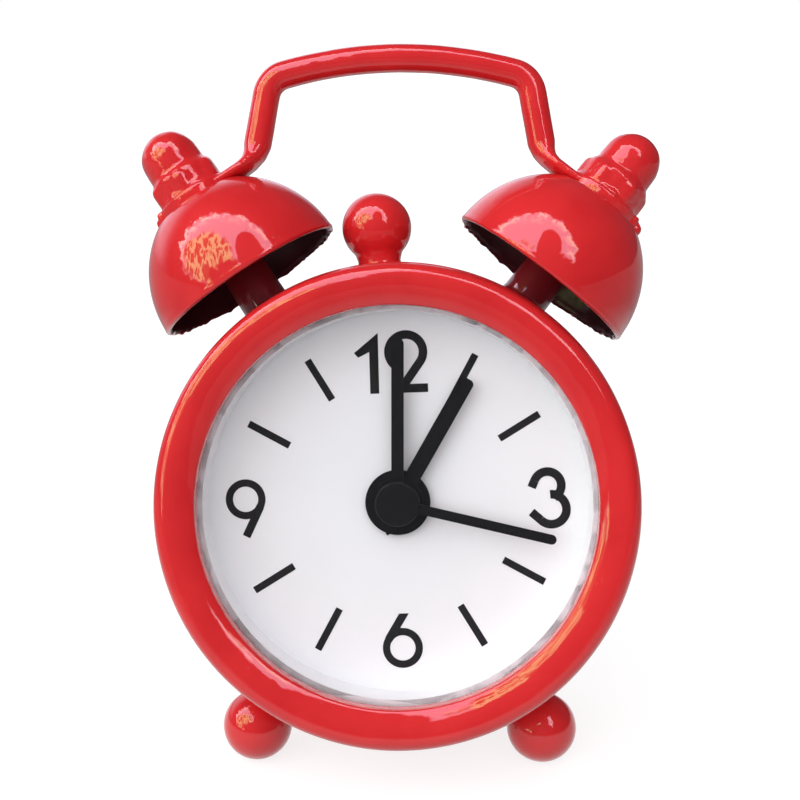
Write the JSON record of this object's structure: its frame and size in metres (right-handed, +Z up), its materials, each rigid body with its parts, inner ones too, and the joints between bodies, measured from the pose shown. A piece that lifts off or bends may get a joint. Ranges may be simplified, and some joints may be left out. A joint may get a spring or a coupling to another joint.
{
  "type": "mini twin-bell alarm clock",
  "caption": "Small round quartz alarm clock in glossy red enamel, with ornamental twin bells, bent-rod handle, ball feet, white dial and black hands; it leans back on its feet and rear edge.",
  "frame": {"origin": "on the table, under the middle of the clock's bounding box", "axes": "+X to the right as the dial is read, +Y from the dial to the back, +Z up; the clock stands leaning back on its two ball feet and the drum's lower rear edge"},
  "size_m": [0.043, 0.0286, 0.0581],
  "materials": {
    "red_enamel": "thick glossy red enamel, pooled in the corners",
    "clear_crystal": "flat clear acrylic",
    "white_plastic": "smooth white",
    "dial_white": "smooth coated white card",
    "black_ink": "printed black",
    "black_hands": "satin black",
    "steel": "plain steel",
    "black_plastic": "moulded black",
    "movement_plastic": "moulded off-white",
    "gear_plastic": "moulded white acetal",
    "copper_wire": "enamelled copper winding",
    "magnet": "sintered magnet",
    "board_green": "lacquered circuit board",
    "black_resin": "cured resin drop",
    "brass_disc": "rolled brass",
    "ceramic_layer": "silvered ceramic"
  },
  "bodies": {
    "clock": {"case_shell": "red_enamel", "front_bezel": "red_enamel", "crystal": "clear_crystal", "dial_ring": "white_plastic", "dial": "dial_white", "dial_marks": "black_ink", "bell_left": "red_enamel", "bell_right": "red_enamel", "bell_post_left": "red_enamel", "bell_post_right": "red_enamel", "bell_screws": "steel", "bell_nut_left": "red_enamel", "bell_nut_right": "red_enamel", "handle": "red_enamel", "top_knob": "red_enamel", "foot_left": "red_enamel", "foot_right": "red_enamel", "ball_screws": "steel", "back_cover": "black_plastic", "battery_cell": "steel", "contact_positive": "steel", "contact_negative": "steel", "front_plate": "movement_plastic", "rear_plate": "movement_plastic", "plate_screws": "steel", "coil_bobbin": "movement_plastic", "coil_winding": "copper_wire", "coil_core": "steel", "stator_plate": "steel", "alarm_contact_spring": "steel", "circuit_board": "board_green", "chip_blob": "black_resin", "quartz_can": "steel", "buzzer_disc": "brass_disc", "buzzer_ceramic": "ceramic_layer", "buzzer_springs": "steel"},
    "second": {"second_hand": "black_hands", "seconds_wheel": "gear_plastic"},
    "intermediate": {"intermediate_wheel": "gear_plastic"},
    "rotor": {"rotor_magnet": "magnet", "rotor_pinion": "gear_plastic"},
    "third": {"third_wheel": "gear_plastic"},
    "centre": {"centre_wheel": "gear_plastic"},
    "minute": {"minute_hand": "black_hands", "cannon_pinion": "gear_plastic"},
    "minute_train": {"minute_wheel": "gear_plastic"},
    "hour": {"hour_hand": "black_hands", "hour_wheel": "gear_plastic"},
    "time_setting": {"time_set_shaft": "gear_plastic", "time_set_knob": "black_plastic"},
    "alarm": {"alarm_hand": "black_hands", "alarm_wheel": "gear_plastic"},
    "alarm_train": {"alarm_idler": "gear_plastic"},
    "alarm_setting": {"alarm_set_shaft": "gear_plastic", "alarm_set_knob": "black_plastic"},
    "switch": {"alarm_switch": "black_plastic"},
    "cap": {"battery_cap": "black_plastic"}
  },
  "joints": [
    {"name": "time_set_spin", "type": "hinge", "parent": "clock", "child": "time_setting", "pos_m": [0.00949, -0.00065, 0.02151], "axis": [0, 0.9685, -0.2492], "continuous": true},
    {"name": "minute_spin", "type": "hinge", "parent": "clock", "child": "minute", "pos_m": [-0.00002, -0.00075, 0.02111], "axis": [0, 0.9685, -0.2492], "continuous": true},
    {"name": "minute_train_spin", "type": "hinge", "parent": "clock", "child": "minute_train", "pos_m": [0.0049, -0.00161, 0.01778], "axis": [0, 0.9685, -0.2492], "continuous": true},
    {"name": "hour_spin", "type": "hinge", "parent": "clock", "child": "hour", "pos_m": [-0.00002, -0.00182, 0.02139], "axis": [0, 0.9685, -0.2492], "continuous": true},
    {"name": "alarm_set_spin", "type": "hinge", "parent": "clock", "child": "alarm_setting", "pos_m": [-0.00953, -0.00249, 0.02199], "axis": [0, 0.9685, -0.2492], "continuous": true},
    {"name": "alarm_train_spin", "type": "hinge", "parent": "clock", "child": "alarm_train", "pos_m": [-0.0071, -0.00341, 0.01843], "axis": [0, 0.9685, -0.2492], "continuous": true},
    {"name": "alarm_spin", "type": "hinge", "parent": "clock", "child": "alarm", "pos_m": [-0.00002, -0.00259, 0.02158], "axis": [0, 0.9685, -0.2492], "continuous": true},
    {"name": "second_spin", "type": "hinge", "parent": "clock", "child": "second", "pos_m": [-0.00002, 0.00254, 0.02026], "axis": [0, 0.9685, -0.2492], "continuous": true},
    {"name": "intermediate_spin", "type": "hinge", "parent": "clock", "child": "intermediate", "pos_m": [0.00412, 0.00427, 0.0234], "axis": [0, 0.9685, -0.2492], "continuous": true},
    {"name": "rotor_spin", "type": "hinge", "parent": "clock", "child": "rotor", "pos_m": [0.00553, 0.00646, 0.02827], "axis": [0, 0.9685, -0.2492], "continuous": true},
    {"name": "third_spin", "type": "hinge", "parent": "clock", "child": "third", "pos_m": [-0.00186, 0.00274, 0.02545], "axis": [0, 0.9685, -0.2492], "continuous": true},
    {"name": "centre_spin", "type": "hinge", "parent": "clock", "child": "centre", "pos_m": [-0.00002, 0.00041, 0.02081], "axis": [0, 0.9685, -0.2492], "continuous": true},
    {"name": "switch_slide", "type": "slide", "parent": "clock", "child": "switch", "axis": [1, 0, 0], "range_m": [0, 0.0025]},
    {"name": "cap_turn", "type": "hinge", "parent": "clock", "child": "cap", "pos_m": [-0.00002, 0.00639, 0.00833], "axis": [0, 0.9685, -0.2492], "range_deg": [0, 45]}
  ],
  "couplings": [
    {"joint": "minute_spin", "follows": "time_set_spin", "ratio": 1},
    {"joint": "minute_train_spin", "follows": "time_set_spin", "ratio": -0.33333},
    {"joint": "hour_spin", "follows": "time_set_spin", "ratio": 0.083333},
    {"joint": "alarm_train_spin", "follows": "alarm_set_spin", "ratio": -0.46667},
    {"joint": "alarm_spin", "follows": "alarm_set_spin", "ratio": 0.29167},
    {"joint": "intermediate_spin", "follows": "second_spin", "ratio": -4},
    {"joint": "rotor_spin", "follows": "second_spin", "ratio": 30},
    {"joint": "third_spin", "follows": "second_spin", "ratio": -0.13333},
    {"joint": "centre_spin", "follows": "second_spin", "ratio": 0.016667}
  ]
}
